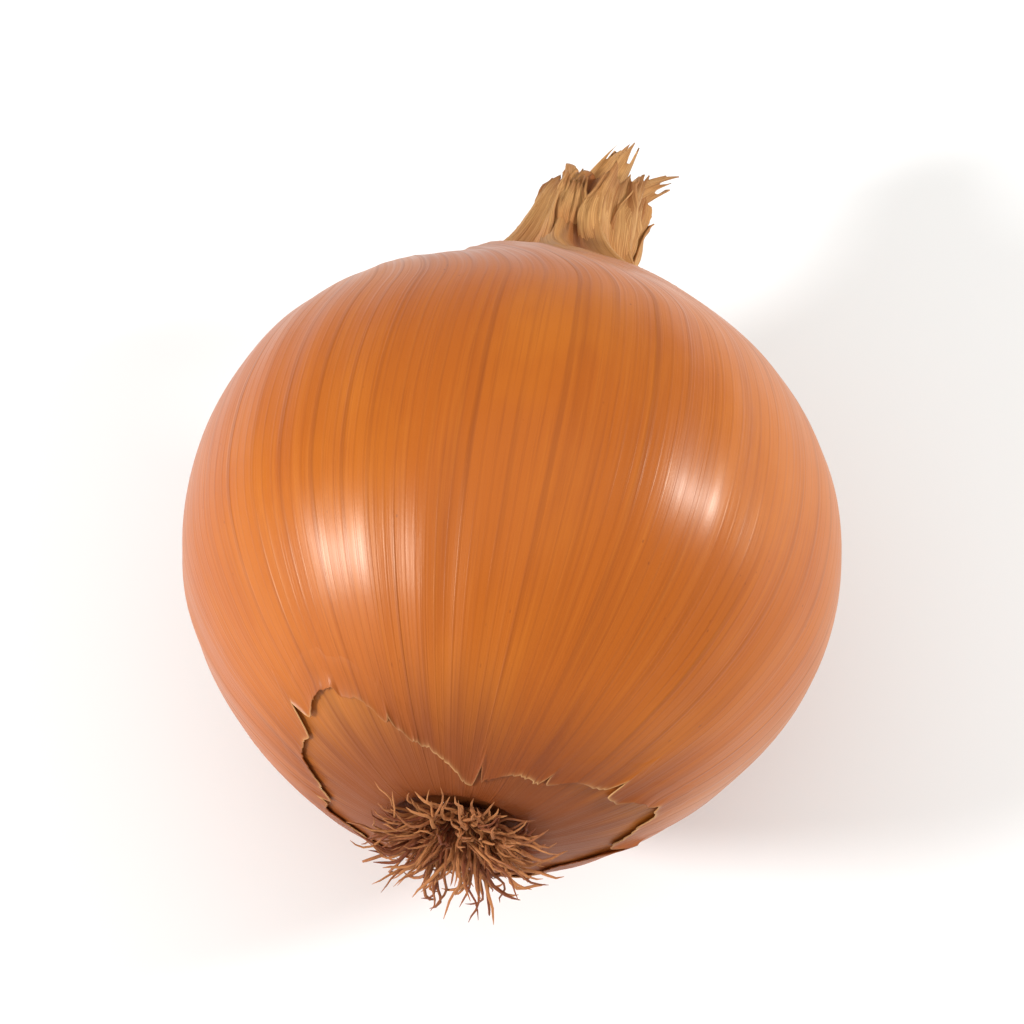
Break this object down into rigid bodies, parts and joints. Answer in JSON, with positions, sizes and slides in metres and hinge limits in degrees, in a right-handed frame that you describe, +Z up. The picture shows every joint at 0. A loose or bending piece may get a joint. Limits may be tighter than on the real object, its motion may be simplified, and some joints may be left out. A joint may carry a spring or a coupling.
{
  "type": "yellow onion",
  "caption": "Dry yellow onion lying on its side: globe bulb in papery skin, short dried neck and a tuft of dried roots.",
  "frame": {"origin": "centre of the small flat spot on the side that the onion rests on", "axes": "+Z up from the resting surface; the onion's own axis runs along Y, neck towards +Y and 8 degrees down, roots towards -Y"},
  "size_m": [0.0741, 0.1026, 0.0721],
  "materials": {
    "skin": "dry papery onion skin, copper brown, satin sheen",
    "roots": "dry wiry root fibres on a corky plate, matt"
  },
  "bodies": {
    "root": {"bulb": "skin", "root_tuft": "roots"}
  },
  "joints": []
}
